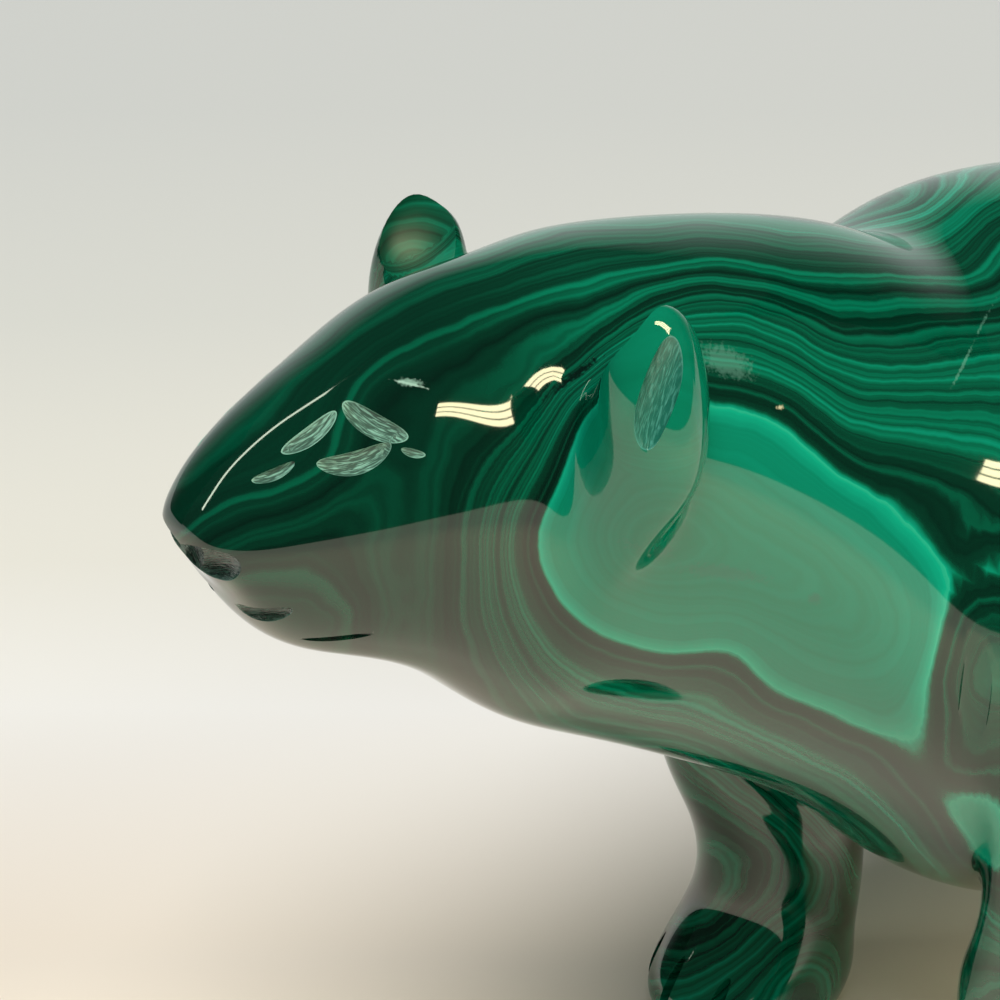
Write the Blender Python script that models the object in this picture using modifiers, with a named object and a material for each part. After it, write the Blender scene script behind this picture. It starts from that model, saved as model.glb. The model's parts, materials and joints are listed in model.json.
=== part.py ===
"""A bear carved from one block of malachite, standing on its own four feet.

The bear faces -X, its left side is toward -Y and +Z is up. The origin is on the ground, under the
middle of its bounding box.
"""

import math

import bmesh
import bpy
from mathutils import Matrix, Vector

# The driving size, nose to rump, in metres. The bear is a free form, so its pose and carving are
# drawn in millimetres for a bear DRAWN_LENGTH long and follow this length.
BEAR_LENGTH = 0.160
DRAWN_LENGTH = 160.0
MM = BEAR_LENGTH / DRAWN_LENGTH     # one drawn millimetre, in metres

RING_POINTS = 16          # points around one section of the body
SMOOTHING = 2             # subdivision levels on the coarse cage

# Sections of the body from nose to rump. Each gives where it stands along the body at the crest,
# at the flank and at the underside, then the heights of crest, flank and underside, half the
# width, and how square its upper and lower halves are (2 is round).
SECTIONS = (
    # crest_x flank_x under_x  crest_z flank_z under_z  half  upper lower
    (-77.0, -78.6, -76.0, 78.2, 74.4, 70.2, 3.6, 2.0, 2.0),     # front of the nose
    (-75.2, -77.0, -74.6, 80.4, 74.0, 67.0, 5.8, 2.0, 2.2),
    (-71.6, -73.2, -71.4, 83.2, 73.2, 64.4, 7.7, 2.0, 2.3),     # nostrils
    (-66.6, -68.2, -66.4, 85.7, 72.6, 62.8, 9.6, 2.0, 2.3),     # eyes
    (-61.4, -63.2, -61.2, 88.4, 73.0, 60.0, 11.6, 2.0, 2.2),    # cheekbones
    (-57.6, -58.8, -56.8, 89.6, 67.4, 55.8, 12.4, 2.0, 2.1),
    (-53.6, -54.6, -52.2, 90.0, 65.8, 52.4, 12.6, 2.0, 2.0),    # in front of the ears
    (-46.6, -47.6, -44.4, 90.2, 74.0, 48.2, 15.2, 2.0, 1.9),    # behind the ears
    (-39.6, -41.8, -36.6, 89.8, 70.0, 44.0, 16.0, 2.0, 1.9),
    (-30.0, -35.4, -27.6, 88.6, 63.5, 39.0, 18.0, 2.0, 1.9),    # neck
    (-19.5, -29.6, -19.6, 86.2, 58.0, 33.0, 20.6, 2.0, 1.9),
    (-12.0, -24.6, -13.6, 82.2, 53.0, 26.0, 24.2, 2.0, 2.0),    # hollow before the hump
    (-5.4, -13.0, -5.0, 86.8, 50.0, 22.6, 27.2, 2.25, 2.1),      # hump and shoulders
    (8.0, 2.0, 5.0, 86.4, 50.0, 23.0, 27.2, 2.2, 2.1),
    (24.0, 18.0, 20.0, 83.4, 52.0, 24.2, 25.2, 2.1, 2.1),       # ribs
    (38.0, 33.0, 34.5, 81.6, 52.0, 26.0, 24.6, 2.1, 2.1),
    (51.0, 45.5, 45.5, 81.0, 49.0, 28.4, 26.0, 2.1, 2.1),       # loins
    (62.6, 59.0, 57.0, 78.0, 46.0, 30.6, 26.8, 2.1, 2.1),       # haunches
    (71.5, 71.8, 68.0, 71.0, 46.0, 34.6, 21.8, 2.0, 2.1),
    (76.5, 78.0, 75.5, 64.5, 52.0, 43.0, 13.6, 2.0, 2.0),
    (78.6, 79.8, 78.4, 60.0, 55.0, 49.6, 6.0, 2.0, 2.0),        # under the tail
)

# Legs, each grown from a patch of the body two sections long: the section where the patch starts,
# then levels down to the sole as centre along, centre out, height, half length and half width.
FLANK_POINT = 4           # the ring point on the flank, where a leg's outer side starts
FORELEG = (
    11,
    (
        (-9.4, 21.0, 27.0, 11.0, 8.6),
        (-7.6, 19.6, 21.0, 9.4, 8.8),
        (-7.0, 19.2, 13.0, 8.6, 8.2),
        (-10.0, 19.2, 7.6, 10.4, 9.0),
        (-11.6, 19.2, 3.2, 12.6, 9.6),
        (-11.6, 19.2, 0.0, 10.6, 8.0),
    ),
)
HINDLEG = (
    16,
    (
        (58.0, 20.4, 30.5, 13.0, 8.4),
        (57.6, 19.2, 24.0, 11.0, 8.8),
        (62.5, 18.8, 13.5, 8.6, 7.8),
        (59.0, 18.8, 7.6, 11.0, 8.6),
        (56.0, 18.8, 3.2, 14.2, 9.2),
        (56.0, 18.8, 0.0, 12.2, 7.6),
    ),
)
STANCE = {("fore", -1): -7.0, ("fore", 1): 2.0, ("hind", -1): 3.0, ("hind", 1): -3.0}

# Ears, each grown from two faces behind the brow, so that the outer side runs straight up from the
# flank: the section and the ring point where they start, then levels as centre along, half length,
# and out and up of the inner and the outer edge.
EAR = (
    6,
    2,
    (
        (-50.0, 4.6, 10.6, 83.6, 17.8, 75.0),
        (-50.0, 4.8, 12.0, 85.4, 19.4, 79.4),
        (-50.0, 3.6, 13.0, 88.2, 15.4, 90.6),
    ),
)
NOSE_SWELL = 1.2          # how far the nose's end bulges out of the first section
RUMP_SWELL = 1.2          # and the rump's end out of the last

# Marks of the carving wheel. Each is a flattened ball sunk in the left side and mirrored to the
# right: where it is, the way it runs, the way it faces, half its length, half its width, its depth.
WHEEL_MARKS = {
    "nostril": ((-79.0, -1.5, 72.7), (0.35, -0.88, 0.30), (-0.94, -0.30, -0.15), 4.6, 1.7, 2.4),
    "mouth": ((-76.2, -3.0, 69.3), (0.42, -0.88, 0.22), (-0.85, -0.50, -0.15), 4.4, 0.85, 1.3),
    "lip": ((-70.6, -6.6, 67.2), (0.82, -0.56, 0.10), (-0.45, -0.70, -0.55), 2.9, 0.34, 0.6),
    "eye_front": ((-71.0, -4.2, 82.1), (0.87, -0.10, 0.48), (-0.46, -0.50, 0.74), 2.9, 1.0, 0.55),
    "eye_back": ((-66.9, -6.2, 82.4), (0.55, -0.72, -0.42), (-0.40, -0.66, 0.64), 2.8, 0.95, 0.55),
    "eye_under": ((-69.0, -6.6, 80.3), (0.93, -0.36, 0.06), (-0.38, -0.78, 0.50), 2.5, 0.95, 0.55),
    "ear_face": ((-51.6, -16.9, 84.2), (0.42, 0.06, 0.9), (-0.28, -0.94, 0.2), 4.7, 1.3, 0.8),
    "ear_back": ((-50.6, -12.9, 86.7), (0.6, -0.2, 0.6), (-0.25, 0.84, 0.45), 3.9, 3.2, 1.6),
    "shoulder": ((-25.8, -22.0, 55.6), (0.10, 0.05, 0.99), (-0.40, -0.91, 0.05), 8.5, 1.3, 0.6),
}
WHEEL_SEGMENTS = 14
TOE_GROOVES = (-0.5, 0.0, 0.5)          # across the paw, as shares of its half width
TOE_MARK = (4.2, 0.55, 3.4)             # half length, half width and depth of one toe groove
TOE_SET_BACK = 1.1                      # how far the outer grooves stand back from the middle one
TOE_REACH = 0.86                        # where the grooves start, as a share of the paw's half length
TOE_RISE = 1.6                          # height of the grooves over the paw's widest level

LAP = (200.0, 90.0, 10.0)  # the flat lap that grinds the soles level: length, width, thickness
GROUND_OFF = 0.1          # how much the lap takes off the soles

KEPT_TRIANGLES = 0.335    # share of the smoothed cage's triangles that the solid keeps


def squared(value, squareness):
    """Cosine or sine of a turn, drawn toward the corners of a squarer section."""
    return math.copysign(abs(value) ** (2 / squareness), value)


def section_ring(section):
    """The points of one section, from the crest down the left side and up the right."""
    crest_x, flank_x, under_x, crest_z, flank_z, under_z, half, upper, lower = section
    ring = []
    for point in range(RING_POINTS):
        turn = 2 * math.pi * point / RING_POINTS
        above = math.cos(turn) > -1e-9
        squareness = upper if above else lower
        rise = abs(squared(math.cos(turn), squareness))
        out = squared(math.sin(turn), squareness)
        end_x, end_z = (crest_x, crest_z) if above else (under_x, under_z)
        ring.append(Vector((flank_x + (end_x - flank_x) * rise, -half * out,
                            flank_z + (end_z - flank_z) * rise)))
    return ring


def bridge(mesh, first, second):
    """Quads between two closed loops of as many points."""
    count = len(first)
    for here in range(count):
        there = (here + 1) % count
        mesh.faces.new((first[here], first[there], second[there], second[here]))


def grid_cap(mesh, loop, bulge):
    """Close a loop of 4n points with an n by n grid, pushed out by bulge at its middle."""
    side = len(loop) // 4
    grid = {}
    for step in range(side):
        grid[(step, 0)] = loop[step]
        grid[(side, step)] = loop[side + step]
        grid[(side - step, side)] = loop[2 * side + step]
        grid[(0, side - step)] = loop[3 * side + step]
    for row in range(1, side):
        for column in range(1, side):
            across, along = row / side, column / side
            place = (grid[(0, column)].co * (1 - across) + grid[(side, column)].co * across
                     + grid[(row, 0)].co * (1 - along) + grid[(row, side)].co * along
                     - grid[(0, 0)].co * (1 - across) * (1 - along)
                     - grid[(side, 0)].co * across * (1 - along)
                     - grid[(0, side)].co * (1 - across) * along
                     - grid[(side, side)].co * across * along)
            swell = 16 * across * (1 - across) * along * (1 - along)
            grid[(row, column)] = mesh.verts.new(place + Vector(bulge) * swell)
    for row in range(side):
        for column in range(side):
            mesh.faces.new((grid[(row, column)], grid[(row + 1, column)],
                            grid[(row + 1, column + 1)], grid[(row, column + 1)]))


def side_point(point, side):
    """The ring point of the left side, or its twin on the right."""
    return point if side < 0 else (RING_POINTS - point) % RING_POINTS


def grow_leg(mesh, rings, leg, stance, side, crease):
    """A leg from a patch of two by two faces down to a flat sole."""
    start, levels = leg
    outer, middle, inner = (side_point(FLANK_POINT + step, side) for step in range(3))
    loop = [rings[start][outer], rings[start][middle], rings[start][inner],
            rings[start + 1][inner], rings[start + 2][inner], rings[start + 2][middle],
            rings[start + 2][outer], rings[start + 1][outer]]
    for depth, (along, out, height, half_length, half_width) in enumerate(levels):
        shift = stance * (depth + 1) / len(levels)
        fresh = []
        for step in range(8):
            turn = math.radians(45 * step - 45)
            fresh.append(mesh.verts.new((along + shift - math.cos(turn) * half_length,
                                         side * (out - math.sin(turn) * half_width), height)))
        bridge(mesh, loop, fresh)
        loop = fresh
    for here in range(8):
        edge = mesh.edges.get((loop[here], loop[(here + 1) % 8]))
        edge[crease] = 1.0
    grid_cap(mesh, loop, (0, 0, 0))


def grow_ear(mesh, rings, side):
    """An ear from two faces, its outer side running up from the flank."""
    start, point, levels = EAR
    inner, middle, outer = (side_point(point + step, side) for step in range(3))
    front, back = rings[start], rings[start + 1]
    loop = [front[inner], front[middle], front[outer], back[outer], back[middle], back[inner]]
    for along, half_length, inner_out, inner_up, outer_out, outer_up in levels:
        middle_out, middle_up = (inner_out + outer_out) / 2, (inner_up + outer_up) / 2
        leading = [(inner_out, inner_up, -0.8), (middle_out, middle_up, -1.0), (outer_out, outer_up, -0.3)]
        trailing = [(out, up, -share) for out, up, share in reversed(leading)]
        fresh = [mesh.verts.new((along + share * half_length, side * out, up))
                 for out, up, share in leading + trailing]
        bridge(mesh, loop, fresh)
        loop = fresh
    mesh.faces.new((loop[0], loop[1], loop[4], loop[5]))
    mesh.faces.new((loop[1], loop[2], loop[3], loop[4]))


def cage_mesh():
    """The coarse cage of the whole bear."""
    mesh = bmesh.new()
    crease = mesh.edges.layers.float.new("crease_edge")
    rings = [[mesh.verts.new(place) for place in section_ring(section)] for section in SECTIONS]
    left_out = set()
    for side in (-1, 1):
        for start in (FORELEG[0], HINDLEG[0]):
            for ring in (start, start + 1):
                left_out |= {(ring, min(side_point(FLANK_POINT + step, side),
                                        side_point(FLANK_POINT + step + 1, side)))
                             for step in range(2)}
        left_out |= {(EAR[0], min(side_point(EAR[1] + step, side), side_point(EAR[1] + step + 1, side)))
                     for step in range(2)}
    for ring in range(len(rings) - 1):
        for point in range(RING_POINTS):
            after = (point + 1) % RING_POINTS
            if (ring, point) not in left_out:
                mesh.faces.new((rings[ring][point], rings[ring][after],
                                rings[ring + 1][after], rings[ring + 1][point]))
    for side in (-1, 1):
        grow_leg(mesh, rings, FORELEG, STANCE[("fore", side)], side, crease)
        grow_leg(mesh, rings, HINDLEG, STANCE[("hind", side)], side, crease)
        grow_ear(mesh, rings, side)
    turned = RING_POINTS // 8
    grid_cap(mesh, rings[0][turned:] + rings[0][:turned], (-NOSE_SWELL, 0, 0))
    grid_cap(mesh, rings[-1][turned:] + rings[-1][:turned], (RUMP_SWELL, 0, 0))
    covered = [corner for corner in mesh.verts if not corner.link_faces]
    bmesh.ops.delete(mesh, geom=covered, context="VERTS")
    bmesh.ops.recalc_face_normals(mesh, faces=mesh.faces)
    return mesh


def add_cutter(collection, name, shape):
    """Keep a cutting shape, drawn in millimetres, as a hidden object."""
    bmesh.ops.transform(shape, matrix=Matrix.Scale(MM, 4), verts=shape.verts)
    shape.normal_update()
    bmesh.ops.recalc_face_normals(shape, faces=shape.faces)
    data = bpy.data.meshes.new(name)
    shape.to_mesh(data)
    shape.free()
    cutter = bpy.data.objects.new(name, data)
    cutter.display_type = "WIRE"
    cutter.hide_render = True
    collection.objects.link(cutter)


def wheel(collection, name, place, along, facing, half_length, half_width, depth, side):
    """One mark of the carving wheel, as a flattened ball to cut with."""
    facing = Vector(facing).normalized()
    along = Vector(along)
    along = (along - along.dot(facing) * facing).normalized()
    across = facing.cross(along)
    frame = Matrix((along * half_length, across * half_width, facing * depth)).transposed().to_4x4()
    frame = Matrix.Translation(place) @ frame
    mirror = Matrix.Diagonal((1, -side, 1, 1))
    ball = bmesh.new()
    bmesh.ops.create_uvsphere(ball, u_segments=WHEEL_SEGMENTS, v_segments=WHEEL_SEGMENTS // 2, radius=1)
    bmesh.ops.transform(ball, matrix=mirror @ frame, verts=ball.verts)
    add_cutter(collection, name, ball)


def toe_wheels(collection):
    """Grooves between the toes of each paw, over its front edge."""
    for kind, (_, levels) in (("fore", FORELEG), ("hind", HINDLEG)):
        along, out, height, half_length, half_width = levels[-2]
        for side in (-1, 1):
            stance = STANCE[(kind, side)] * (len(levels) - 1) / len(levels)
            front = along + stance - half_length * TOE_REACH
            for number, share in enumerate(TOE_GROOVES):
                back = 2 * abs(share) * TOE_SET_BACK
                place = (front + back, -(out + share * half_width), height + TOE_RISE)
                wheel(collection, f"{kind}_toe_{side}_{number}", place, (0.9, 0, 0.45), (-0.45, 0, 0.9),
                      *TOE_MARK, side)


def sole_lap(collection):
    """The flat lap under the feet."""
    block = bmesh.new()
    place = Matrix.Translation((0, 0, GROUND_OFF - LAP[2] / 2)) @ Matrix.Diagonal((*LAP, 1))
    bmesh.ops.create_cube(block, size=1, matrix=place)
    add_cutter(collection, "sole_lap", block)


def malachite():
    """Polished malachite, a deep green stone."""
    stone = bpy.data.materials.new("polished_malachite")
    stone.use_nodes = True
    shader = stone.node_tree.nodes["Principled BSDF"]
    shader.inputs["Base Color"].default_value = (0.005, 0.11, 0.065, 1)
    shader.inputs["Roughness"].default_value = 0.06
    shader.inputs["Metallic"].default_value = 0.0
    shader.inputs["IOR"].default_value = 1.7
    return stone


def carve(bear, marks):
    """Smooth the cage, thin the mesh and cut the wheel marks, all as modifiers."""
    smooth = bear.modifiers.new("smooth", "SUBSURF")
    smooth.levels = smooth.render_levels = SMOOTHING
    thin = bear.modifiers.new("thin", "DECIMATE")
    thin.ratio = KEPT_TRIANGLES
    thin.use_collapse_triangulate = True
    cut = bear.modifiers.new("wheel_marks", "BOOLEAN")
    cut.operation = "DIFFERENCE"
    cut.solver = "EXACT"
    cut.operand_type = "COLLECTION"
    cut.collection = marks


def stand(bear):
    """Fix the carved form as a mesh and set it on the ground over the origin."""
    graph = bpy.context.evaluated_depsgraph_get()
    carved = bpy.data.meshes.new_from_object(bear.evaluated_get(graph))
    lowest = Vector([min(corner.co[axis] for corner in carved.vertices) for axis in range(3)])
    highest = Vector([max(corner.co[axis] for corner in carved.vertices) for axis in range(3)])
    middle = (lowest + highest) / 2
    carved.transform(Matrix.Translation((-middle.x, -middle.y, -lowest.z)))
    bear.modifiers.clear()
    bear.data = carved
    carved.name = bear.name
    carved.set_sharp_from_angle(angle=math.radians(40))


def build():
    for old in list(bpy.data.objects):
        bpy.data.objects.remove(old)
    figure = bpy.data.collections.new("malachite_bear")
    marks = bpy.data.collections.new("wheel_marks")
    for collection in (figure, marks):
        bpy.context.scene.collection.children.link(collection)
    cage = cage_mesh()
    bmesh.ops.scale(cage, vec=(MM, MM, MM), verts=cage.verts)
    data = bpy.data.meshes.new("bear")
    cage.to_mesh(data)
    cage.free()
    data.shade_smooth()
    bear = bpy.data.objects.new("bear", data)
    bear.data.materials.append(malachite())
    figure.objects.link(bear)
    for name, mark in WHEEL_MARKS.items():
        for side in (-1, 1):
            wheel(marks, f"{name}_{side}", *mark, side)
    toe_wheels(marks)
    sole_lap(marks)
    carve(bear, marks)
    stand(bear)


build()
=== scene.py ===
import json
import math

import bmesh
import bpy
import numpy as np
from mathutils import Matrix, Vector
from mathutils.kdtree import KDTree

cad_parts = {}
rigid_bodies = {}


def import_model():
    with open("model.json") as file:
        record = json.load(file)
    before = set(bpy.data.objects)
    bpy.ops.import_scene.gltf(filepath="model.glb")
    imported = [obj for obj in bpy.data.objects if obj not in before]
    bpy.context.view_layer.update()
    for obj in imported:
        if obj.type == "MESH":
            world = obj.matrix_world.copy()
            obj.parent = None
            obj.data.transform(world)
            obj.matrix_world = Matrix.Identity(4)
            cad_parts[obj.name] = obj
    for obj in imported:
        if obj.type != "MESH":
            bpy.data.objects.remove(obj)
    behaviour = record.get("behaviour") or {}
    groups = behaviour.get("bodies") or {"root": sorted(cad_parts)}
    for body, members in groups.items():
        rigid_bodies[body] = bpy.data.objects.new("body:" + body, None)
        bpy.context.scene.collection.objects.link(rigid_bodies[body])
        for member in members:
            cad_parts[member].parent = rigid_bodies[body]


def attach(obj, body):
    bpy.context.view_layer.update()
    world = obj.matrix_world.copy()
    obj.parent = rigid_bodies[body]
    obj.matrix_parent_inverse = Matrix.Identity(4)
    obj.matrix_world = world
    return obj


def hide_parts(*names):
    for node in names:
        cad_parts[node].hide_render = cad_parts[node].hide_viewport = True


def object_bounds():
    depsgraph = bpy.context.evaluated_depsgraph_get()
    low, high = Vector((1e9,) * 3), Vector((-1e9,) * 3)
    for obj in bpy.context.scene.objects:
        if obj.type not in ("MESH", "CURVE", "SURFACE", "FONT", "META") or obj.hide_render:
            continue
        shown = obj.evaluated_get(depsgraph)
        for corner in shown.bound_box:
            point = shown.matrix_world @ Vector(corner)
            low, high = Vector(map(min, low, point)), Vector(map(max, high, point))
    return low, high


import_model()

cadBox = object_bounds()
scene = bpy.context.scene
scene.view_settings.view_transform = "Standard"      # colours come out as their hex values say
perMetre = 1000.0                   # everything below is drawn in millimetres
print("frame loaded, bear is", [round((high - low) * perMetre, 1) for low, high in zip(*cadBox)], "mm")


def hexColor(code):                 # sRGB hex to the linear numbers a shader wants
    channels = [int(code[i:i + 2], 16) / 255 for i in (0, 2, 4)]
    linear = [c / 12.92 if c <= 0.04045 else ((c + 0.055) / 1.055) ** 2.4 for c in channels]
    return (*linear, 1.0)


def addNode(tree, kind, inputs=None, **settings):      # inputs: name or number -> value or output socket
    node = tree.nodes.new(kind)
    for name, value in settings.items():
        setattr(node, name, value)
    for name, value in (inputs or {}).items():
        if isinstance(value, bpy.types.NodeSocket):
            tree.links.new(value, node.inputs[name])
        else:
            node.inputs[name].default_value = value
    return node


def setStops(ramp, stops):          # each stop: a position, then a hex colour or its three channels
    while len(ramp.elements) > 1:
        ramp.elements.remove(ramp.elements[-1])
    for number, (position, tint) in enumerate(stops):
        element = ramp.elements[0] if number == 0 else ramp.elements.new(position)
        element.position = position
        element.color = hexColor(tint) if isinstance(tint, str) else (*tint, 1.0)


def newMaterial(name):
    material = bpy.data.materials.new(name)
    material.use_nodes = True
    return material, material.node_tree, material.node_tree.nodes["Principled BSDF"]


# The camera stands close in front of the left cheek and looks down on it.
view = {
    "azimuth": -35.0,               # degrees round the bear, 0 looks along +Y
    "elevation": 24.0,
    "distance": 180.0,
    "target": (-61.75, -12.0, 77.0),
    "focal": 2700.0,                # in pixels of a frame 1000 wide
    "frameWidth": 1000.0,
    "sensor": 36.0,
    "nearest": 5.0,                 # nothing closer to the lens is drawn
}


def viewAxes():                     # right, up and back of the camera
    turn, lift = math.radians(view["azimuth"]), math.radians(view["elevation"])
    back = Vector((math.sin(turn) * math.cos(lift), -math.cos(turn) * math.cos(lift), math.sin(lift)))
    right = Vector((math.cos(turn), math.sin(turn), 0.0))
    return right, back.cross(right), back


def makeCamera():
    right, up, back = viewAxes()
    camera = bpy.data.objects.new("camera", bpy.data.cameras.new("camera"))
    scene.collection.objects.link(camera)
    place = (Vector(view["target"]) + back * view["distance"]) / perMetre
    camera.matrix_world = Matrix.Translation(place) @ Matrix((right, up, back)).transposed().to_4x4()
    camera.data.sensor_width = view["sensor"]
    camera.data.lens = view["sensor"] * view["focal"] / view["frameWidth"]
    camera.data.clip_start = view["nearest"] / perMetre
    scene.camera = camera


makeCamera()
print("camera set")

# The carving: sections of the body from nose to rump, as in the solid, smoothed finer here.
# Each row: crest x, flank x, underside x, crest z, flank z, underside z, half width, squareness
# of the upper half and of the lower half.
body = {
    "ringPoints": 16,               # points round each section
    "smoothing": 3,                 # rounds of smoothing
    "sections": (
        (-77.0, -78.6, -76.0, 78.2, 74.4, 70.2, 3.6, 2.0, 2.0),     # front of the nose
        (-75.2, -77.0, -74.6, 80.4, 74.0, 67.0, 5.8, 2.0, 2.2),
        (-71.6, -73.2, -71.4, 83.2, 73.2, 64.4, 7.7, 2.0, 2.3),     # nostrils
        (-66.6, -68.2, -66.4, 85.7, 72.6, 62.8, 9.6, 2.0, 2.3),     # eyes
        (-61.4, -63.2, -61.2, 88.4, 73.0, 60.0, 11.6, 2.0, 2.2),    # cheekbones
        (-57.6, -58.8, -56.8, 89.6, 67.4, 55.8, 12.4, 2.0, 2.1),
        (-53.6, -54.6, -52.2, 90.0, 65.8, 52.4, 12.6, 2.0, 2.0),    # in front of the ears
        (-46.6, -47.6, -44.4, 90.2, 74.0, 48.2, 15.2, 2.0, 1.9),    # behind the ears
        (-39.6, -41.8, -36.6, 89.8, 70.0, 44.0, 16.0, 2.0, 1.9),
        (-30.0, -35.4, -27.6, 88.6, 63.5, 39.0, 18.0, 2.0, 1.9),    # neck
        (-19.5, -29.6, -19.6, 86.2, 58.0, 33.0, 20.6, 2.0, 1.9),
        (-12.0, -24.6, -13.6, 82.2, 53.0, 26.0, 24.2, 2.0, 2.0),    # hollow before the hump
        (-5.4, -13.0, -5.0, 86.8, 50.0, 22.6, 27.2, 2.25, 2.1),     # hump and shoulders
        (8.0, 2.0, 5.0, 86.4, 50.0, 23.0, 27.2, 2.2, 2.1),
        (24.0, 18.0, 20.0, 83.4, 52.0, 24.2, 25.2, 2.1, 2.1),       # ribs
        (38.0, 33.0, 34.5, 81.6, 52.0, 26.0, 24.6, 2.1, 2.1),
        (51.0, 45.5, 45.5, 81.0, 49.0, 28.4, 26.0, 2.1, 2.1),       # loins
        (62.6, 59.0, 57.0, 78.0, 46.0, 30.6, 26.8, 2.1, 2.1),       # haunches
        (71.5, 71.8, 68.0, 71.0, 46.0, 34.6, 21.8, 2.0, 2.1),
        (76.5, 78.0, 75.5, 64.5, 52.0, 43.0, 13.6, 2.0, 2.0),
        (78.6, 79.8, 78.4, 60.0, 55.0, 49.6, 6.0, 2.0, 2.0),        # under the tail
    ),
    "swell": 1.2,                   # bulge of the nose's end and of the rump's end
}

# Legs grow from two by two faces: first section, then along, out, height, half length, half width.
legs = {
    "flankPoint": 4,                # where round a section those faces start
    "fore": (11, ((-9.4, 21.0, 27.0, 11.0, 8.6), (-7.6, 19.6, 21.0, 9.4, 8.8),
                  (-7.0, 19.2, 13.0, 8.6, 8.2), (-10.0, 19.2, 7.6, 10.4, 9.0),
                  (-11.6, 19.2, 3.2, 12.6, 9.6), (-11.6, 19.2, 0.0, 10.6, 8.0))),
    "hind": (16, ((58.0, 20.4, 30.5, 13.0, 8.4), (57.6, 19.2, 24.0, 11.0, 8.8),
                  (62.5, 18.8, 13.5, 8.6, 7.8), (59.0, 18.8, 7.6, 11.0, 8.6),
                  (56.0, 18.8, 3.2, 14.2, 9.2), (56.0, 18.8, 0.0, 12.2, 7.6))),
    "stance": {                     # how far each foot stands back of its own shoulder or hip
        ("fore", -1): -7.0, ("fore", 1): 2.0, ("hind", -1): 3.0, ("hind", 1): -3.0},
}

# Ears grow from two faces: along, half length, then out and up of the inner and the outer edge.
ears = {
    "section": 6,
    "point": 2,                     # where round a section those faces start
    "shares": (-0.8, -1.0, -0.3),   # front of the inner edge, middle and outer edge, in half lengths
    "levels": ((-50.0, 4.6, 10.6, 83.6, 17.8, 75.0), (-50.0, 4.8, 12.0, 85.4, 19.4, 79.4),
               (-50.0, 3.6, 13.0, 88.2, 15.4, 90.6)),
}


def squared(value, squareness):
    return math.copysign(abs(value) ** (2 / squareness), value)


def sectionRing(section):           # from the crest down the left side and up the right
    crestX, flankX, underX, crestZ, flankZ, underZ, half, upper, lower = section
    ring = []
    for point in range(body["ringPoints"]):
        turn = 2 * math.pi * point / body["ringPoints"]
        above = math.cos(turn) > -1e-9      # the flank itself counts as above
        squareness = upper if above else lower
        rise = abs(squared(math.cos(turn), squareness))
        endX, endZ = (crestX, crestZ) if above else (underX, underZ)
        ring.append(Vector((flankX + (endX - flankX) * rise, -half * squared(math.sin(turn), squareness),
                            flankZ + (endZ - flankZ) * rise)))
    return ring


def bridge(mesh, first, second):    # quads between two closed loops
    for here in range(len(first)):
        there = (here + 1) % len(first)
        mesh.faces.new((first[here], first[there], second[there], second[here]))


def gridCap(mesh, loop, bulge):     # close a loop of 4n points with an n by n grid
    side = len(loop) // 4
    grid = {}
    for step in range(side):
        grid[(step, 0)] = loop[step]
        grid[(side, step)] = loop[side + step]
        grid[(side - step, side)] = loop[2 * side + step]
        grid[(0, side - step)] = loop[3 * side + step]
    for row in range(1, side):
        for column in range(1, side):
            a, b = row / side, column / side
            place = (grid[(0, column)].co * (1 - a) + grid[(side, column)].co * a
                     + grid[(row, 0)].co * (1 - b) + grid[(row, side)].co * b
                     - grid[(0, 0)].co * (1 - a) * (1 - b) - grid[(side, 0)].co * a * (1 - b)
                     - grid[(0, side)].co * (1 - a) * b - grid[(side, side)].co * a * b)
            swell = 16 * a * (1 - a) * b * (1 - b)
            grid[(row, column)] = mesh.verts.new(place + Vector((bulge * swell, 0, 0)))
    for row in range(side):
        for column in range(side):
            mesh.faces.new((grid[(row, column)], grid[(row + 1, column)],
                            grid[(row + 1, column + 1)], grid[(row, column + 1)]))


def sidePoint(point, side):         # the ring point of the left side, or its twin on the right
    return point if side < 0 else (body["ringPoints"] - point) % body["ringPoints"]


def growLeg(mesh, rings, kind, side, crease):
    start, levels = legs[kind]
    stance = legs["stance"][(kind, side)]
    outer, middle, inner = (sidePoint(legs["flankPoint"] + step, side) for step in range(3))
    loop = [rings[start][outer], rings[start][middle], rings[start][inner],
            rings[start + 1][inner], rings[start + 2][inner], rings[start + 2][middle],
            rings[start + 2][outer], rings[start + 1][outer]]
    for depth, (along, out, height, halfLength, halfWidth) in enumerate(levels):
        shift = stance * (depth + 1) / len(levels)
        fresh = []
        for step in range(len(loop)):
            turn = math.radians(360 * (step - 1) / len(loop))
            fresh.append(mesh.verts.new((along + shift - math.cos(turn) * halfLength,
                                         side * (out - math.sin(turn) * halfWidth), height)))
        bridge(mesh, loop, fresh)
        loop = fresh
    for here in range(len(loop)):
        mesh.edges.get((loop[here], loop[(here + 1) % len(loop)]))[crease] = 1.0
    gridCap(mesh, loop, 0)


def growEar(mesh, rings, side):
    inner, middle, outer = (sidePoint(ears["point"] + step, side) for step in range(3))
    front, back = rings[ears["section"]], rings[ears["section"] + 1]
    loop = [front[inner], front[middle], front[outer], back[outer], back[middle], back[inner]]
    for along, halfLength, innerOut, innerUp, outerOut, outerUp in ears["levels"]:
        edges = ((innerOut, innerUp), ((innerOut + outerOut) / 2, (innerUp + outerUp) / 2),
                 (outerOut, outerUp))
        leading = [(out, up, share) for (out, up), share in zip(edges, ears["shares"])]
        trailing = [(out, up, -share) for out, up, share in reversed(leading)]
        fresh = [mesh.verts.new((along + share * halfLength, side * out, up))
                 for out, up, share in leading + trailing]
        bridge(mesh, loop, fresh)
        loop = fresh
    mesh.faces.new((loop[0], loop[1], loop[4], loop[5]))
    mesh.faces.new((loop[1], loop[2], loop[3], loop[4]))


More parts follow.
